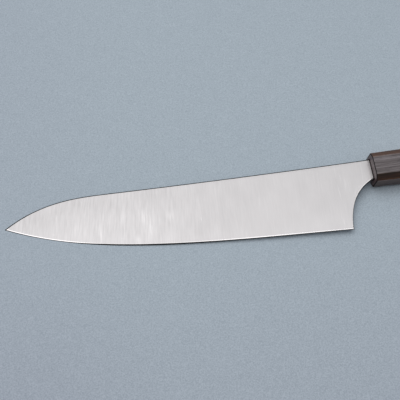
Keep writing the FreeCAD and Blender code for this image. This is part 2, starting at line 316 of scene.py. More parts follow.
def build_blade():
    """Rings of points round the blade, from the point to the end of the hidden tang."""
    bottom, top, heel_at = blade_outline()
    up, down = inward_normals(bottom, 1), inward_normals(top, -1)
    up[heel_at] = (-CHOIL_ROUND / BEVEL_HEIGHT, 1.0)
    halves, rims, backs = [], [], []
    for n, (low, high) in enumerate(zip(bottom, top)):
        half = half_section(low, high, up[n], down[n], n <= heel_at)
        halves.append(half)
        rims.append([math.dist((x, y), low) for x, y, _ in half])
        backs.append([math.dist((x, y), high) for x, y, _ in half])
    for half in tang_sections(halves[-1]):
        halves.append(half)
        rims.append(rims[-1])
        backs.append(backs[-1])

    points, heights, depths = [], [], []
    for half, rim, back in zip(halves, rims, backs):
        points += half
        points += [(x, y, -z) for x, y, z in reversed(half[1:-1])]
        heights += rim + rim[-2:0:-1]
        depths += back + back[-2:0:-1]
    faces, sharp = blade_faces(len(halves), 2 * len(halves[0]) - 2, heel_at)
    blade = mesh_object("blade_steel", points, faces, sharp)
    mark_blade(blade, points, heights, depths)
    return blade


def mark_blade(blade, points, heights, depths):
    """Gives the blade what its material reads: grinding lines and distances to the borders."""
    layer = blade.data.uv_layers.new(name="face")
    for loop in blade.data.loops:
        number = loop.vertex_index
        layer.data[loop.index].uv = (grinding_foot(*points[number][:2]), heights[number])
    borders = blade.data.color_attributes.new("borders", "FLOAT_COLOR", "POINT")
    for entry, height, depth in zip(borders.data, heights, depths):
        entry.color = (height, depth, 0.0, 1.0)


# ---- the handle ------------------------------------------------------------------------

ARRIS_STEPS = 4
FACET_SHARES = (0.3, 0.5, 0.7)  # where points stand across a facet, besides its worn borders
END_STEPS = 5
SLOT_RINGS, FERRULE_RINGS, GRIP_RINGS, BUTT_RINGS = 7, 24, 60, 9
WEAR_AND_HIGHLIGHT_REACH = 0.55  # how far wear and its painted highlight fade out beside a rounded arris
PAINTED_DARK_FADE = 0.12  # how fast the painted dark line on the collar's front arris fades out
PAINTED_DARK_END = 0.3  # how far it reaches over the end grain


def octagon(x, inset=0.0):
    """One ring of the handle's outside at a station, its eight arrises rounded."""
    grow = TAPER * x - inset
    high, thick = FRONT_HALF
    slant = Vector((FRONT_CORNER[1], FRONT_CORNER[0])).normalized()
    reach = slant.dot((high, thick - FRONT_CORNER[1])) + grow
    high, thick = high + grow, thick + grow
    quarter = [(high, (reach - slant.x * high) / slant.y)]
    quarter += [((reach - slant.y * thick) / slant.x, thick)]
    corners = [*quarter]
    corners += [(-y, z) for y, z in reversed(quarter)]
    corners += [(-y, -z) for y, z in quarter]
    corners += [(y, -z) for y, z in reversed(quarter)]
    corners = [Vector(corner) for corner in corners]
    arcs = []
    for n, here in enumerate(corners):
        back = (corners[n - 1] - here).normalized()
        on = (corners[(n + 1) % 8] - here).normalized()
        turn = math.pi - back.angle(on)
        centre = here + (back + on).normalized() * ARRIS_ROUND / math.cos(turn / 2)
        start = here + back * ARRIS_ROUND * math.tan(turn / 2) - centre
        steps = [Matrix.Rotation(turn * k / ARRIS_STEPS, 2) @ start for k in range(ARRIS_STEPS + 1)]
        arcs.append([centre + step for step in steps])
    ring = []
    for n, arc in enumerate(arcs):
        ring += arc
        leaving, following = arc[-1], arcs[(n + 1) % 8][0]
        close = WEAR_AND_HIGHLIGHT_REACH / (following - leaving).length
        ring += [leaving.lerp(following, share) for share in (close, *FACET_SHARES, 1 - close)]
    return [(x, spot.x, spot.y) for spot in ring]


PER_FACET = ARRIS_STEPS + 1 + len(FACET_SHARES) + 2
AROUND = 8 * PER_FACET
ARRIS_WEAR_AND_HIGHLIGHT = [k % PER_FACET <= ARRIS_STEPS for k in range(AROUND)]


def ray_ring(x, reach):
    """A ring at a station, each point on the same ray as the outside's, at reach(angle)."""
    ring = []
    for _, y, z in octagon(0.0):
        angle = math.atan2(z, y)
        ring.append((x, math.cos(angle) * reach(angle), math.sin(angle) * reach(angle)))
    return ring


def round_ring(x, radius):
    return ray_ring(x, lambda angle: radius)


def slot_ring(x, half=SLOT_HALF):
    """A ring round the slot's rectangle, with one point on each corner."""
    high, thick = half
    middle = (NECK_LOW + NECK_HIGH) / 2
    ring = ray_ring(
        x,
        lambda angle: min(
            high / max(1e-9, abs(math.cos(angle))), thick / max(1e-9, abs(math.sin(angle)))
        ),
    )
    for y, z in ((high, thick), (high, -thick), (-high, thick), (-high, -thick)):
        nearest = min(range(AROUND), key=lambda n: math.dist(ring[n][1:], (y, z)))
        ring[nearest] = (x, y, z)
    return [(x, y + middle, z) for x, y, z in ring]


def blend_rings(first, last, count):
    """Evenly spaced rings between two, ends left out."""
    made = []
    for n in range(1, count):
        share = n / count
        pairs = zip(np.array(first), np.array(last))
        made.append([tuple(one * (1 - share) + other * share) for one, other in pairs])
    return made


def lathe(
    name, rings, closed, sharp_rings=(), wear_and_highlight_rings=(), painted_dark_rings=(), end_rings=(), butt_rings=()
):
    """A skin over rings of equal count, closed into a loop or capped at both ends.

    Arrises and worn rings, worn lighter with a painted highlight, are marked in red, rings of a painted
    dark line in green, the front face in blue.
    """
    points = [point for ring in rings for point in ring]
    faces = []
    pairs = len(rings) if closed else len(rings) - 1
    for n in range(pairs):
        on = (n + 1) % len(rings)
        for k in range(AROUND):
            nxt = (k + 1) % AROUND
            faces.append((n * AROUND + k, n * AROUND + nxt, on * AROUND + nxt, on * AROUND + k))
    if not closed:
        for n in (0, len(rings) - 1):
            centre = len(points)
            points.append(tuple(np.mean(rings[n], axis=0)))
            faces += [(n * AROUND + k, n * AROUND + (k + 1) % AROUND, centre) for k in range(AROUND)]
    sharp = [
        (n * AROUND + k, n * AROUND + (k + 1) % AROUND) for n in sharp_rings for k in range(AROUND)
    ]
    made = mesh_object(name, points, faces, sharp)
    wear_and_painted_light = made.data.color_attributes.new("wear_and_painted_light", "FLOAT_COLOR", "POINT")
    for number, entry in enumerate(wear_and_painted_light.data):
        ring, k = divmod(number, AROUND)
        painted_dark = float(ring in painted_dark_rings)
        on_side = ring < len(rings) and ring not in end_rings and ring not in butt_rings
        wear_and_highlight = float(ring in wear_and_highlight_rings or (on_side and ARRIS_WEAR_AND_HIGHLIGHT[k]))
        entry.color = (wear_and_highlight * (1 - painted_dark), painted_dark, float(ring in end_rings), 1.0)
    return made


def rounded_end(x, direction, rounding):
    """Rings that turn the handle's side over into an end face."""
    rings = []
    for n in range(END_STEPS + 1):
        turn = QUARTER_TURN * n / END_STEPS
        inset = rounding * (1 - math.cos(turn))
        back = rounding * (1 - math.sin(turn))
        rings.append(octagon(x + direction * back, inset))
    return rings


def build_ferrule():
    """The front collar: rounded front end, slot for the neck, bore for the dowel."""
    side_to_front = rounded_end(0.0, 1, FRONT_ROUND)
    mouth = slot_ring(0.0)
    rings = [octagon(FRONT_ROUND + PAINTED_DARK_FADE), *side_to_front]
    rings += [octagon(0.0, FRONT_ROUND + PAINTED_DARK_END), octagon(0.0, FRONT_ROUND + PAINTED_DARK_END + PAINTED_DARK_FADE)]
    rings += [*blend_rings(rings[-1], mouth, SLOT_RINGS), mouth]
    mouth_at = len(rings) - 1
    rings += [slot_ring(SLOT_DEPTH), round_ring(SLOT_DEPTH, DOWEL_BORE[0])]
    rings += [round_ring(FERRULE_LENGTH, DOWEL_BORE[0])]
    back_side = octagon(FERRULE_LENGTH - SEAM_ROUND)
    rings += [octagon(FERRULE_LENGTH, SEAM_ROUND), back_side]
    rings += blend_rings(back_side, rings[0], FERRULE_RINGS)
    sharp = [*range(mouth_at, mouth_at + 6)]
    front_at = len(side_to_front)
    # the rings that carry the painted dark line round the front arris
    painted_dark = range(1, front_at + 2)
    face = range(front_at + 2, mouth_at + 1)
    return lathe("ferrule_wood", rings, True, sharp, painted_dark_rings=painted_dark, end_rings=face)


def build_handle_body():
    """The grip: tapered sides, rounded butt, and the two bores inside."""
    to_butt = rounded_end(HANDLE_LENGTH, -1, BUTT_ROUND)
    front_side = octagon(FERRULE_LENGTH + SEAM_ROUND)
    back_side = octagon(HANDLE_LENGTH - BUTT_ROUND - WEAR_AND_HIGHLIGHT_REACH)
    rings = [round_ring(TANG_BORE[1], TANG_BORE[0]), round_ring(DOWEL_BORE[1], TANG_BORE[0])]
    rings += [round_ring(DOWEL_BORE[1], DOWEL_BORE[0]), round_ring(FERRULE_LENGTH, DOWEL_BORE[0])]
    rings += [octagon(FERRULE_LENGTH, SEAM_ROUND), front_side]
    rings += [*blend_rings(front_side, back_side, GRIP_RINGS), back_side]
    butt_at = len(rings)
    rings += [*to_butt, octagon(HANDLE_LENGTH, BUTT_ROUND + WEAR_AND_HIGHLIGHT_REACH)]
    butt_centre = [(HANDLE_LENGTH, y * 0.02, z * 0.02) for _, y, z in rings[-1]]
    rings += [*blend_rings(rings[-1], butt_centre, BUTT_RINGS), butt_centre]
    wear_and_highlight = range(butt_at + 2, butt_at + 5)
    flat = range(butt_at + len(to_butt), len(rings))
    return lathe("handle_wood", rings, False, range(6), wear_and_highlight_rings=wear_and_highlight, butt_rings=flat)


def build_mouth_seal():
    """The bead of sealer in the slot's mouth, smeared a little over the face and the neck."""
    slot_high, slot_thick = SLOT_HALF
    neck = ((NECK_HIGH - NECK_LOW) / 2 - BEAD_BITE, NECK_THICK / 2 - BEAD_BITE)
    spread = slot_ring(BEAD_SINK, (slot_high + BEAD_OUT, slot_thick + BEAD_OUT))
    middle = slot_ring(-BEAD_RISE / 3, (slot_high, slot_thick))
    shoulder = slot_ring(-BEAD_RISE * 0.8, (neck[0] + BEAD_SHOULDER, neck[1] + BEAD_SHOULDER))
    top = slot_ring(-BEAD_RISE, neck)
    rings = [spread, middle, shoulder, top, slot_ring(SEAL_DEPTH, neck)]
    rings += [slot_ring(SEAL_DEPTH), slot_ring(BEAD_SINK)]
    return lathe("mouth_seal_bead", rings, closed=True, sharp_rings=(0, 3, 4, 5, 6))


# ---- materials -------------------------------------------------------------------------


class Nodes:
    """A short way to write a material's nodes."""

    def __init__(self, name):
        self.material = bpy.data.materials.new(name)
        self.material.use_nodes = True
        self.tree = self.material.node_tree
        self.shader = self.tree.nodes["Principled BSDF"]
        self.position = self.add("ShaderNodeTexCoord").outputs["Object"]

    def add(self, kind, **settings):
        node = self.tree.nodes.new(kind)
        for key, value in settings.items():
            setattr(node, key, value)
        return node

    def feed(self, socket, value):
        if isinstance(value, bpy.types.NodeSocket):
            self.tree.links.new(value, socket)
        else:
            socket.default_value = value

    def mapped(self, scale=(1, 1, 1), shift=(0, 0, 0), turn=(0, 0, 0), source=None):
        node = self.add("ShaderNodeMapping", vector_type="POINT")
        self.feed(node.inputs["Vector"], source or self.position)
        node.inputs["Location"].default_value = shift
        node.inputs["Rotation"].default_value = turn
        node.inputs["Scale"].default_value = scale
        return node.outputs["Vector"]

    def noise(self, vector, scale=1.0, detail=2.0, rough=0.5, warp=0.0):
        node = self.add("ShaderNodeTexNoise")
        self.feed(node.inputs["Vector"], vector)
        node.inputs["Scale"].default_value = scale
        node.inputs["Detail"].default_value = detail
        node.inputs["Roughness"].default_value = rough
        node.inputs["Distortion"].default_value = warp
        return node.outputs["Fac"]

    def math(self, operation, first, second=0.0, third=0.0, clamp=False):
        node = self.add("ShaderNodeMath", operation=operation, use_clamp=clamp)
        for socket, value in zip(node.inputs, (first, second, third)):
            self.feed(socket, value)
        return node.outputs[0]

    def ranged(self, value, low, high, to_low=0.0, to_high=1.0, smooth=True):
        node = self.add("ShaderNodeMapRange")
        node.interpolation_type = "SMOOTHSTEP" if smooth else "LINEAR"
        for name, number in zip(
            ("Value", "From Min", "From Max", "To Min", "To Max"),
            (value, low, high, to_low, to_high),
        ):
            self.feed(node.inputs[name], number)
        return node.outputs["Result"]

    def mix(self, share, first, second, blend="MIX"):
        node = self.add("ShaderNodeMix", data_type="RGBA", blend_type=blend)
        self.feed(node.inputs[0], share)
        self.feed(node.inputs[6], first)
        self.feed(node.inputs[7], second)
        return node.outputs[2]

    def ramp(self, value, stops):
        node = self.add("ShaderNodeValToRGB")
        self.feed(node.inputs[0], value)
        while len(node.color_ramp.elements) < len(stops):
            node.color_ramp.elements.new(0.5)
        for element, (place, colour) in zip(node.color_ramp.elements, stops):
            element.position = place
            element.color = (*colour, 1.0)
        return node.outputs["Color"]

    def bump(self, height, strength, distance, below=None):
        node = self.add("ShaderNodeBump")
        node.inputs["Strength"].default_value = strength
        node.inputs["Distance"].default_value = distance
        self.feed(node.inputs["Height"], height)
        if below:
            self.feed(node.inputs["Normal"], below)
        return node.outputs["Normal"]

    def finish(self, **sockets):
        for name, value in sockets.items():
            self.feed(self.shader.inputs[name.replace("_", " ")], value)
        return self.material


def rgb(*values):
    return (*values, 1.0)


STEEL_TONE = 0.485
STEEL_WARMTH = (1.03, 0.985, 0.98)
LINE_CONTRAST, BROAD_CONTRAST, CLOUD_CONTRAST = 0.40, 0.06, 0.05
OTHER_FACE_SHIFT = 50.0  # gives the two faces different grinding lines
HANDLE_PAINTED_LIGHT = (-3.0, -0.6)  # where the face is painted lighter beside the handle, against the handle's shade
BEVEL_POLISH_AND_PAINTED_GLEAM = (1.15, 0.75)  # how far the bevel's polish and its painted highlight reach
PAINTED_GLEAM_STRENGTH = (0.15, 0.32)  # the painted highlight's strength, on the choil, on the edge
BEVEL_ROUGHNESS = 0.18
# Painted shade and dark reflection: near-black lines along the edge, the choil and the spine, where
# they turn from the lamp.
PAINTED_DARK_LINE_TONE = 0.006
PAINTED_DARK_LINE_GROWS = (-222.0, -190.0, 0.42, 0.82)  # along the edge, and the painted dark line's width there
PAINTED_DARK_LINE_THINS = (-165.0, -88.0, 0.0, 0.40)
PAINTED_SPINE_LINE, PAINTED_SPINE_LINE_FADE = 0.76, 0.08

# Marks on the blade's face, listed one by one: soft bright patches, partly the grinding's haze and
# partly painted highlights, as middle, half size and strength, and fine scratches, as middle, half
# size, lean in degrees and strength.
HAZE_AND_PAINTED_HIGHLIGHTS = (
    ((-226, -5), (1.6, 4.0), 0.0675),
    ((-197, -22), (2.6, 9.0), 0.06),
    ((-181, -13), (4.0, 9.0), 0.0375),
    ((-167, -12), (3.6, 9.0), 0.0525),
    ((-163, -19), (9.0, 16.0), 0.0525),
    ((-172, -29), (3.0, 6.0), 0.0675),
    ((-148, -15), (4.0, 6.0), 0.0525),
    ((-213, -16), (3.0, 9.0), 0.03),
)
SCRATCHES = (
    ((-27.0, -13.0), (0.30, 9.5), 3.0, 0.10),
    ((-28.2, -36.0), (0.35, 4.5), 1.0, 0.10),
    ((-21.5, -8.0), (0.25, 6.5), -5.0, 0.07),
    ((-24.0, -3.0), (0.25, 5.0), 6.0, 0.06),
    ((-127.0, -20.0), (0.35, 2.2), 2.0, 0.16),
    ((-105.0, -12.0), (0.25, 9.0), 3.0, 0.05),
    ((-80.0, -5.0), (0.25, 6.0), 4.0, 0.05),
    ((-228.3, -17.5), (0.35, 1.2), 0.0, 0.12),
)


def face_mark(n, middle, half, lean=0.0):
    """How much a point is inside a soft ellipse on the blade's face, from 0 to 1."""
    node = n.add("ShaderNodeMapping", vector_type="TEXTURE")
    n.feed(node.inputs["Vector"], n.position)
    node.inputs["Location"].default_value = placed((*middle, 0.0))
    node.inputs["Rotation"].default_value = (0.0, 0.0, math.radians(lean))
    node.inputs["Scale"].default_value = (half[0] * MM, half[1] * MM, 1.0)
    away = n.add("ShaderNodeVectorMath", operation="LENGTH")
    n.feed(away.inputs[0], node.outputs["Vector"])
    return n.ranged(away.outputs["Value"], 1.0, 0.0)


def steel_lay(n):
    """The steel face's own coordinates, in millimetres: along the edge, and up the grinding line."""
    split = n.add("ShaderNodeSeparateXYZ")
    n.feed(split.inputs[0], n.add("ShaderNodeUVMap", uv_map="face").outputs[0])
    turned = n.add("ShaderNodeSeparateXYZ")
    n.feed(turned.inputs[0], n.position)
    other_face = n.math("LESS_THAN", turned.outputs[2], KNIFE_ZERO.z)
    lay = n.add("ShaderNodeCombineXYZ")
    n.feed(lay.inputs[0], split.outputs[0])
    n.feed(lay.inputs[1], split.outputs[1])
    n.feed(lay.inputs[2], n.math("MULTIPLY", other_face, OTHER_FACE_SHIFT))
    behind_neck = n.math("SUBTRACT", turned.outputs[0], KNIFE_ZERO.x)
    return lay.outputs[0], split.outputs[0], behind_neck


def steel_tone(n, lay, along, rim, back, behind_neck):
    """The satin face's tone with its painted highlights, and its fine grinding lines."""
    rough_end = n.ranged(along, -60, -190, 0.35, 1.0)
    fine = n.noise(n.mapped(scale=(1.3, 0.09, 1), source=lay), detail=3, rough=0.65)
    medium = n.noise(n.mapped(scale=(0.6, 0.06, 1), shift=(3, 1, 0), source=lay), detail=2)
    broad = n.noise(n.mapped(scale=(0.13, 0.045, 1), shift=(7, 4, 0), source=lay), detail=2)
    cloud = n.noise(n.mapped(scale=(0.034, 0.04, 1), shift=(1, 9, 0), source=lay), detail=2)
    leaning = n.mapped(scale=(1.1, 0.03, 1), shift=(2, 5, 0), turn=(0, 0, 0.1), source=lay)
    stray = n.noise(leaning, detail=1)
    lines = n.math("MULTIPLY_ADD", fine, 0.55, n.math("MULTIPLY", medium, 0.45))
    centred = n.math("SUBTRACT", lines, 0.5)
    tone = n.math("MULTIPLY", centred, n.math("MULTIPLY", rough_end, LINE_CONTRAST))
    tone = n.math("ADD", tone, n.math("MULTIPLY", n.math("SUBTRACT", broad, 0.5), BROAD_CONTRAST))
    tone = n.math("ADD", tone, n.math("MULTIPLY", n.math("SUBTRACT", cloud, 0.5), CLOUD_CONTRAST))
    tone = n.math("ADD", tone, n.ranged(stray, 0.64, 0.72, 0.0, 0.03))
    tone = n.math("ADD", tone, n.ranged(rim, 16.0, 1.0, 0.0, 0.018))
    # painted highlight: the middle of the face, about 110 to 150 mm out, is lightened where the lamp's
    # reflection is brightest
    painted_middle_highlight = n.math("MULTIPLY", n.ranged(back, 4.0, 20.0), n.ranged(along, -110, -150))
    tone = n.math("MULTIPLY_ADD", painted_middle_highlight, 0.022, tone)
    tone = n.math("ADD", tone, n.ranged(along, -110, -25, 0.0, 0.045, smooth=False))
    # painted highlights: soft bright patches, broken up by the grinding lines, lighten the steel's tone
    for middle, half, strength in HAZE_AND_PAINTED_HIGHLIGHTS:
        broken = n.math("MULTIPLY", face_mark(n, middle, half), n.ranged(lines, 0.3, 0.65, 0.5, 1.3))
        tone = n.math("MULTIPLY_ADD", broken, strength, tone)
    for middle, half, lean, strength in SCRATCHES:
        tone = n.math("MULTIPLY_ADD", face_mark(n, middle, half, lean), strength, tone)
    # painted light: the face beside the handle is lightened against the shade the handle casts there
    painted_light_by_handle = n.ranged(behind_neck, *metres(HANDLE_PAINTED_LIGHT))
    tone = n.math("MULTIPLY_ADD", painted_light_by_handle, 0.10, tone)
    return n.math("ADD", tone, STEEL_TONE), lines


def steel_material():
    """Satin steel: grinding lines, scratches, soft patches partly of painted highlight, a painted
    highlight on the bevel and choil, and painted shade and dark reflection as near-black lines along
    the edge, choil and spine."""
    n = Nodes("satin_steel")
    lay, along, behind_neck = steel_lay(n)
    borders = n.add("ShaderNodeSeparateColor")
    n.feed(borders.inputs[0], n.add("ShaderNodeAttribute", attribute_name="borders").outputs["Color"])
    rim, back = borders.outputs[0], borders.outputs[1]
    value, lines = steel_tone(n, lay, along, rim, back, behind_neck)

    on_edge = n.ranged(along, HEEL[0] + 0.3, HEEL[0] - 0.3)
    # painted highlight: the bevel and the choil's rounding are lightened in colour; the same band is
    # also made smoother below
    polish_and_painted_gleam = n.ranged(rim, *BEVEL_POLISH_AND_PAINTED_GLEAM)
    value = n.math("MULTIPLY_ADD", polish_and_painted_gleam, n.ranged(on_edge, 0.0, 1.0, *PAINTED_GLEAM_STRENGTH), value)
    # painted highlight: a faint lighter band just inside the spine's dark line
    value = n.math("MULTIPLY_ADD", n.ranged(back, 1.4, 0.7), 0.03, value)
    # painted shade and dark reflection: near-black lines along the edge and choil, and along the spine
    painted_dark_width = n.math("SUBTRACT", n.ranged(along, *PAINTED_DARK_LINE_GROWS), n.ranged(along, *PAINTED_DARK_LINE_THINS))
    painted_dark = n.ranged(n.math("SUBTRACT", painted_dark_width, rim), -0.06, 0.06)
    painted_spine_dark = n.ranged(back, PAINTED_SPINE_LINE + PAINTED_SPINE_LINE_FADE, PAINTED_SPINE_LINE - PAINTED_SPINE_LINE_FADE)
    painted_dark = n.math("MAXIMUM", painted_dark, painted_spine_dark)
    value = n.math("MULTIPLY_ADD", n.math("SUBTRACT", PAINTED_DARK_LINE_TONE, value), painted_dark, value)
    colour = n.add("ShaderNodeCombineColor")
    for socket, share in zip(colour.inputs, STEEL_WARMTH):
        n.feed(socket, n.math("MULTIPLY", value, share))
    rough = n.ranged(lines, 0.25, 0.75, 0.30, 0.38)
    rough = n.math("MULTIPLY_ADD", n.math("SUBTRACT", BEVEL_ROUGHNESS, rough), polish_and_painted_gleam, rough)
    tangent = n.add("ShaderNodeTangent", direction_type="UV_MAP", uv_map="face")
    normal = n.bump(lines, 0.25, 0.00004)
    n.shader.inputs["Anisotropic"].default_value = 0.4
    n.feed(n.shader.inputs["Tangent"], tangent.outputs[0])
    return n.finish(Base_Color=colour.outputs[0], Metallic=1.0, Roughness=rough, Normal=normal)


# Heights about the axis, at the handle's front, between which the wood's tones change; the tones are
# partly the wood's own and partly painted light and shade.
BROWN_FACETS = (6.2, 7.0)
DARK_FACETS = (-6.4, -6.8)
PAINTED_SHADE_UNDER_ARRIS = (-8.2, -7.0)
STREAKY = (-8.0, -9.2)
LOWER_FACET = (-10.7, -10.9)
PAINTED_SHADE_UNDERNEATH = (4.0, -6.0)  # the same upwards, in Z, for the painted shade low on the lower side
WARM_STREAK = ((26.0, -9.9), (20.0, 1.6))  # a browner streak low on the side, and its half size

BODY_STEPS = (0.36, 0.50, 0.64)
MAIN_TONES_WITH_PAINTED_SHEEN = ((0.040, 0.028, 0.028), (0.155, 0.128, 0.128), (0.290, 0.250, 0.255))
BROWNS = ((0.041, 0.015, 0.008), (0.117, 0.052, 0.029), (0.222, 0.115, 0.066))
BLACKS_WITH_PAINTED_SHADE = ((0.005, 0.0015, 0.0005), (0.040, 0.014, 0.006), (0.185, 0.085, 0.036))
STREAK_BROWN = (0.18, 0.082, 0.035)
LOWER_BROWN_PAINTED_LIGHTER = (0.118, 0.064, 0.054)
END_GRAIN_WITH_PAINTED_REFLECTION = (0.180, 0.118, 0.118)
WORN_WOOD_AND_HIGHLIGHT = (0.30, 0.235, 0.225)


def tinted(n, colour, share, strength, tint):
    """A colour with a tint over it."""
    return n.mix(n.math("MULTIPLY", share, strength), colour, rgb(*tint))


def wood_grain(n, shift):
    """Noises along the handle: the grain, its body, warm streaks, open pores."""
    bent = n.noise(n.mapped(scale=(9, 60, 60), shift=shift), detail=2)
    wander = n.add("ShaderNodeVectorMath", operation="MULTIPLY_ADD")
    n.feed(wander.inputs[0], bent)
    wander.inputs[1].default_value = (0.0, 0.0022, 0.0022)
    n.feed(wander.inputs[2], n.position)
    path = wander.outputs[0]
    grain = n.noise(n.mapped(scale=(34, 1000, 1000), shift=shift, source=path), detail=4, rough=0.6)
    bands = n.noise(n.mapped(scale=(11, 330, 330), shift=shift, source=path), detail=2)
    warm = n.noise(n.mapped(scale=(16, 260, 260), shift=(shift[0] + 5, 2, 7), source=path), detail=3)
    pores = n.noise(n.mapped(scale=(150, 2600, 2600), shift=shift, source=path), detail=2, rough=0.4)
    body = n.math("MULTIPLY_ADD", grain, 0.6, n.math("MULTIPLY", bands, 0.4))
    return grain, body, warm, n.ranged(pores, 0.60, 0.72)


def facet_colours(n, grain, body, warm):
    """The wood's colour by facet, partly its own and partly painted light and shade: pale grey with
    painted sheen on the side facing the lamp, brown above, blackish with painted shade and a brown
    streak below the side, the lower side painted lighter and darker towards the bottom.
    """
    split = n.add("ShaderNodeSeparateXYZ")
    n.feed(split.inputs[0], n.position)
    side = n.math("SUBTRACT", split.outputs[1], KNIFE_ZERO.y)
    growth = n.math("MULTIPLY", n.math("SUBTRACT", split.outputs[0], KNIFE_ZERO.x), TAPER)
    up, down = n.math("SUBTRACT", side, growth), n.math("ADD", side, growth)
    brown_side = n.ranged(up, *metres(BROWN_FACETS))
    dark_shaded_side = n.ranged(down, *metres(DARK_FACETS))
    lower_side = n.ranged(down, *metres(LOWER_FACET))
    # painted light and shade: the side facing the lamp takes pale greys for its sheen, and the slanted
    # facet below, turned from the lamp, takes near blacks for its shade
    colour = n.ramp(body, list(zip(BODY_STEPS, MAIN_TONES_WITH_PAINTED_SHEEN)))
    colour = n.mix(brown_side, colour, n.ramp(body, list(zip(BODY_STEPS, BROWNS))))
    colour = n.mix(dark_shaded_side, colour, n.ramp(body, list(zip(BODY_STEPS, BLACKS_WITH_PAINTED_SHADE))))
    # painted shade: the slanted facet is darkened further just below its arris with the side
    painted_shade_under_arris = n.math("MULTIPLY", dark_shaded_side, n.ranged(down, *metres(PAINTED_SHADE_UNDER_ARRIS)))
    colour = tinted(n, colour, painted_shade_under_arris, 0.8, (0.004, 0.002, 0.001))
    glimpse = n.math("MULTIPLY", warm, n.ranged(grain, 0.35, 0.65, 0.8, 1.15))
    nearer = n.math("MULTIPLY", face_mark(n, *WARM_STREAK), 0.20)
    streak = n.ranged(n.math("ADD", glimpse, nearer), 0.54, 0.68)
    streaky = n.math("MAXIMUM", brown_side, n.ranged(down, *metres(STREAKY)))
    colour = tinted(n, colour, n.math("MULTIPLY", streak, streaky), 0.7, STREAK_BROWN)
    # painted light: the lower side facet, which gets little of the lamp, is lifted to a lighter brown
    colour = tinted(n, colour, lower_side, 0.7, LOWER_BROWN_PAINTED_LIGHTER)
    # painted shade: the lower side facet darkens towards the bottom, where it nears the card
    height = n.math("SUBTRACT", split.outputs[2], KNIFE_ZERO.z)
    painted_shade_underneath = n.math("MULTIPLY", n.ranged(height, *metres(PAINTED_SHADE_UNDERNEATH)), lower_side)
    colour = tinted(n, colour, painted_shade_underneath, 0.55, (0.020, 0.013, 0.015))
    return colour, n.math("SUBTRACT", dark_shaded_side, lower_side, clamp=True)


def dark_wood_material(name, shift):
    """Dark tropical wood, oiled and polished: long fine grain, open pores, arrises worn lighter with a
    painted highlight, a painted dark line on the collar's front arris, and painted light and shade by
    facet.
    """
    n = Nodes(name)
    grain, body, warm, pore = wood_grain(n, shift)
    colour, no_wear_and_highlight = facet_colours(n, grain, body, warm)
    colour = tinted(n, colour, pore, 0.75, (0.008, 0.005, 0.004))
    marks = n.add("ShaderNodeSeparateColor")
    n.feed(marks.inputs[0], n.add("ShaderNodeAttribute", attribute_name="wear_and_painted_light").outputs["Color"])
    wear_and_painted_light, rim, end_face = marks.outputs
    # the front face's end grain, with a painted reflection of the bright blade and lamp lightening it
    colour = tinted(n, colour, end_face, 0.8, END_GRAIN_WITH_PAINTED_REFLECTION)
    patchy = n.noise(n.mapped(scale=(240, 700, 700), shift=shift), detail=3)
    # wear and painted highlight: the arrises are lightened in patches, less so on the dark slanted
    # facet
    wear_and_highlight = n.math("MULTIPLY", wear_and_painted_light, n.ranged(patchy, 0.36, 0.58, 0.35, 1.0))
    wear_and_highlight = n.math("MULTIPLY", wear_and_highlight, n.math("MULTIPLY_ADD", no_wear_and_highlight, -0.9, 1.0))
    colour = tinted(n, colour, wear_and_highlight, 0.75, WORN_WOOD_AND_HIGHLIGHT)
    # painted shade and dark reflection: a near-black line on the collar's front arris
    colour = tinted(n, colour, rim, 0.95, (0.006, 0.004, 0.004))
    rough = n.ranged(body, 0.3, 0.7, 0.30, 0.42)
    rough = n.math("ADD", rough, n.math("MULTIPLY", pore, 0.2), clamp=True)
    rough = n.math("MULTIPLY_ADD", rim, 0.4, rough, clamp=True)
    relief = n.math("SUBTRACT", n.math("MULTIPLY", grain, 0.35), pore)
    normal = n.bump(relief, 0.6, 0.00007)
    n.shader.inputs["Specular IOR Level"].default_value = 0.4
    return n.finish(Base_Color=colour, Roughness=rough, Normal=normal)


def pale_wood_material():
    """The hidden dowel's plain pale wood."""
    n = Nodes("pale_wood")
    grain = n.noise(n.mapped(scale=(30, 1200, 1200)), detail=4, rough=0.6)
    colour = n.ramp(grain, [(0.3, (0.42, 0.27, 0.13)), (0.7, (0.62, 0.45, 0.26))])
    normal = n.bump(grain, 0.4, 0.00008)
    return n.finish(Base_Color=colour, Roughness=n.ranged(grain, 0.3, 0.7, 0.6, 0.75), Normal=normal)


def glue_material():
    """The hidden bedding: cured amber glue with faint clouds and bubbles."""
    n = Nodes("cured_glue")
    cloud = n.noise(n.mapped(scale=(220, 220, 220)), detail=3)
    colour = n.ramp(cloud, [(0.3, (0.30, 0.20, 0.09)), (0.7, (0.42, 0.31, 0.16))])
    normal = n.bump(n.noise(n.mapped(scale=(1400, 1400, 1400)), detail=1), 0.3, 0.00008)
    return n.finish(Base_Color=colour, Roughness=n.ranged(cloud, 0.3, 0.7, 0.25, 0.45), Normal=normal)


def seal_material():
    """The dark sealer round the neck, dull, with the slight waves of a wiped bead."""
    n = Nodes("dark_sealer")
    wave = n.noise(n.mapped(scale=(500, 500, 500)), detail=3)
    colour = n.ramp(wave, [(0.3, (0.006, 0.004, 0.004)), (0.7, (0.020, 0.014, 0.012))])
    normal = n.bump(wave, 0.4, 0.0001)
    n.shader.inputs["Specular IOR Level"].default_value = 0.15
    return n.finish(Base_Color=colour, Roughness=n.ranged(wave, 0.3, 0.7, 0.55, 0.7), Normal=normal)


CARD_COLOURS = ((0.50, 0.575, 0.64), (0.655, 0.735, 0.805))
NEAR_SIDE = (0.0, -200.0)  # where painted shade darkens the card and its tooth grows coarser, in Y
LEFT_SIDE = (-150.0, -270.0)  # and in X
NEAR_PAINTED_SHADE = (0.94, 0.915, 0.93)
LEFT_PAINTED_SHADE = (0.97, 0.96, 0.97)
CORNER_PAINTED_SHADE = (0.955, 0.945, 0.955)


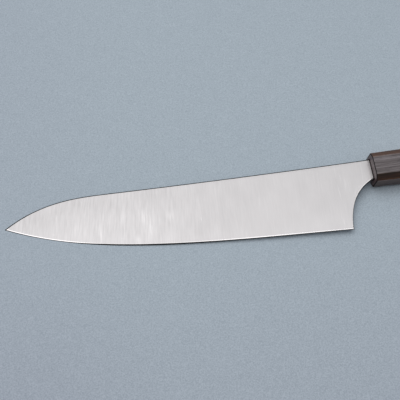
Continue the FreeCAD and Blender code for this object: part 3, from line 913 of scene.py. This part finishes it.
def floor_material():
    """A plain pale blue-grey card, its tooth coarser on the near side, darkened by painted shade on its
    near and left sides.
    """
    n = Nodes("pale_card")

    def shaded(colour, share, tint):
        return n.mix(share, colour, n.mix(1.0, colour, rgb(*tint), "MULTIPLY"))

    tooth = n.noise(n.mapped(scale=(1150, 1150, 1150)), detail=2, rough=0.7)
    colour = n.ramp(tooth, [(0.34, CARD_COLOURS[0]), (0.66, CARD_COLOURS[1])])
    coarser = n.ramp(tooth, [(0.37, CARD_COLOURS[0]), (0.63, CARD_COLOURS[1])])
    split = n.add("ShaderNodeSeparateXYZ")
    n.feed(split.inputs[0], n.position)
    nearer = n.ranged(n.math("SUBTRACT", split.outputs[1], KNIFE_ZERO.y), *metres(NEAR_SIDE))
    leftward = n.ranged(n.math("SUBTRACT", split.outputs[0], KNIFE_ZERO.x), *metres(LEFT_SIDE))
    # painted shade: the card darkens towards its near and left sides, most at the near left corner
    colour = n.mix(nearer, colour, n.mix(1.0, coarser, rgb(*NEAR_PAINTED_SHADE), "MULTIPLY"))
    colour = shaded(colour, leftward, LEFT_PAINTED_SHADE)
    colour = shaded(colour, n.math("MULTIPLY", nearer, leftward), CORNER_PAINTED_SHADE)
    cloud = n.noise(n.mapped(scale=(110, 110, 110)), detail=2)
    cloudy = n.ramp(cloud, [(0.35, (0.985, 0.985, 0.985)), (0.65, (1.0, 1.0, 1.0))])
    return n.finish(Base_Color=n.mix(1.0, colour, cloudy, "MULTIPLY"), Roughness=0.9)


# ---- putting it together ---------------------------------------------------------------


def dress(piece, material, slot, *nodes):
    """Gives a piece its material, hangs it on the root body, and hides the CAD nodes it stands for."""
    piece.data.materials.append(material)
    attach(piece, "root")
    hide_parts(*nodes)


def paint_node(name, material):
    """Puts a material on a CAD node that is kept as it is."""
    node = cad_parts[name]
    node.data.materials.clear()
    node.data.materials.append(material)


ferrule_look = dark_wood_material("ferrule_dark_wood", (0.0, 0.0, 0.0))
handle_look = dark_wood_material("handle_dark_wood", (3.0, 0.0, 0.0))
dress(build_blade(), steel_material(), "blade_steel", "blade")
dress(build_ferrule(), ferrule_look, "ferrule_wood", "ferrule")
dress(build_handle_body(), handle_look, "handle_wood", "handle_body")
dress(build_mouth_seal(), seal_material(), "seal", "mouth_seal")
paint_node("core_dowel", pale_wood_material())
paint_node("tang_bedding", glue_material())


# ---- the surface it lies on, the light and the camera ----------------------------------

BELLY_REST = -232.0  # the edge's lowest point, in X
CARD_HALF = 6000.0
OVERHEAD = (-220, 250, 1150)  # the lamp's place, and where it points
LAMP_TARGET = (-130, 0, 0)
LAMP_SIZE = (1.35, 1.3)  # metres
LAMP_POWER = 6.0
SKY_COLOUR = (0.90, 0.95, 1.0)
# A direction, then how near to it as a cosine with the strength there: away from it, and near.
FILL = ((-0.1, 0.3, 0.95), (0.25, 0.04), (0.95, 0.55))
WALLS = ((0.0, 0.6, 0.8), (-0.6, 0.33), (0.9, 0.50))
CAMERA_LENS = 67.99
CAMERA_PLACE = (-175.425, -183.841, 495.572)
CAMERA_TURN = (20.307, -2.549, -8.773)  # degrees


def resting_plane():
    """The plane the knife lies on: it touches the edge's belly and the collar's lower corner."""
    belly = Vector((BELLY_REST, edge_y(BELLY_REST), 0.0))
    rise = edge_y(BELLY_REST + 1) - edge_y(BELLY_REST)
    corner = Vector((FRONT_ROUND, FRONT_CORNER[0] - FRONT_HALF[0], -FRONT_HALF[1]))
    normal = Vector((1, rise, 0)).cross(corner - belly).normalized()
    return belly, normal if normal.z > 0 else -normal


def build_floor():
    """A wide card under the knife."""
    belly, normal = resting_plane()
    turn = Vector((0, 0, 1)).rotation_difference(normal)
    signs = ((-1, -1), (1, -1), (1, 1), (-1, 1))
    corners = [turn @ Vector((x * CARD_HALF, y * CARD_HALF, 0)) + belly for x, y in signs]
    floor = mesh_object("floor", corners, [(0, 1, 2, 3)])
    floor.data.materials.append(floor_material())


def add_lamp():
    """One wide soft lamp overhead."""
    data = bpy.data.lights.new("overhead", "AREA")
    data.shape = "RECTANGLE"
    data.size, data.size_y = LAMP_SIZE
    data.energy = LAMP_POWER
    light = bpy.data.objects.new("overhead", data)
    light.location = placed(OVERHEAD)
    aim = placed(LAMP_TARGET) - placed(OVERHEAD)
    light.rotation_euler = aim.to_track_quat("-Z", "Y").to_euler()
    bpy.context.scene.collection.objects.link(light)


def set_world():
    """The studio round the knife: dim fill, and pale walls that show only in reflections."""
    world = bpy.data.worlds.new("studio")
    world.use_nodes = True
    tree = world.node_tree
    sky = tree.nodes.new("ShaderNodeTexCoord").outputs["Generated"]
    path = tree.nodes.new("ShaderNodeLightPath").outputs

    def add(kind, first, second, **settings):
        node = tree.nodes.new(kind)
        for key, value in settings.items():
            setattr(node, key, value)
        for socket, value in zip(node.inputs, (first, second)):
            if isinstance(value, bpy.types.NodeSocket):
                tree.links.new(value, socket)
            else:
                socket.default_value = value
        return node.outputs

    def fade(towards, low, high):
        """Strength by direction, rising from low's to high's as the direction nears towards."""
        facing = add("ShaderNodeVectorMath", sky, Vector(towards).normalized(), operation="DOT_PRODUCT")
        node = tree.nodes.new("ShaderNodeMapRange")
        node.interpolation_type = "SMOOTHSTEP"
        node.inputs["From Min"].default_value = low[0]
        node.inputs["From Max"].default_value = high[0]
        node.inputs["To Min"].default_value = low[1]
        node.inputs["To Max"].default_value = high[1]
        tree.links.new(facing["Value"], node.inputs["Value"])
        return node.outputs["Result"]

    fill, walls = fade(*FILL), fade(*WALLS)
    either = add("ShaderNodeMath", path["Is Camera Ray"], path["Is Glossy Ray"], operation="MAXIMUM")[0]
    extra = add("ShaderNodeMath", walls, fill, operation="SUBTRACT")[0]
    extra = add("ShaderNodeMath", extra, either, operation="MULTIPLY")[0]
    strength = add("ShaderNodeMath", extra, fill, operation="ADD")[0]
    background = tree.nodes["Background"]
    background.inputs["Color"].default_value = rgb(*SKY_COLOUR)
    tree.links.new(strength, background.inputs["Strength"])
    bpy.context.scene.world = world


def add_camera():
    """The viewpoint: above the blade, a little to the edge's side."""
    data = bpy.data.cameras.new("camera")
    data.sensor_width = 36.0
    data.lens = CAMERA_LENS
    data.clip_start, data.clip_end = 0.01, 50.0
    camera = bpy.data.objects.new("camera", data)
    camera.location = placed(CAMERA_PLACE)
    camera.rotation_euler = Euler([math.radians(angle) for angle in CAMERA_TURN], "XYZ")
    bpy.context.scene.collection.objects.link(camera)
    bpy.context.scene.camera = camera


build_floor()
add_lamp()
set_world()
add_camera()
bpy.context.scene.view_settings.view_transform = "Standard"
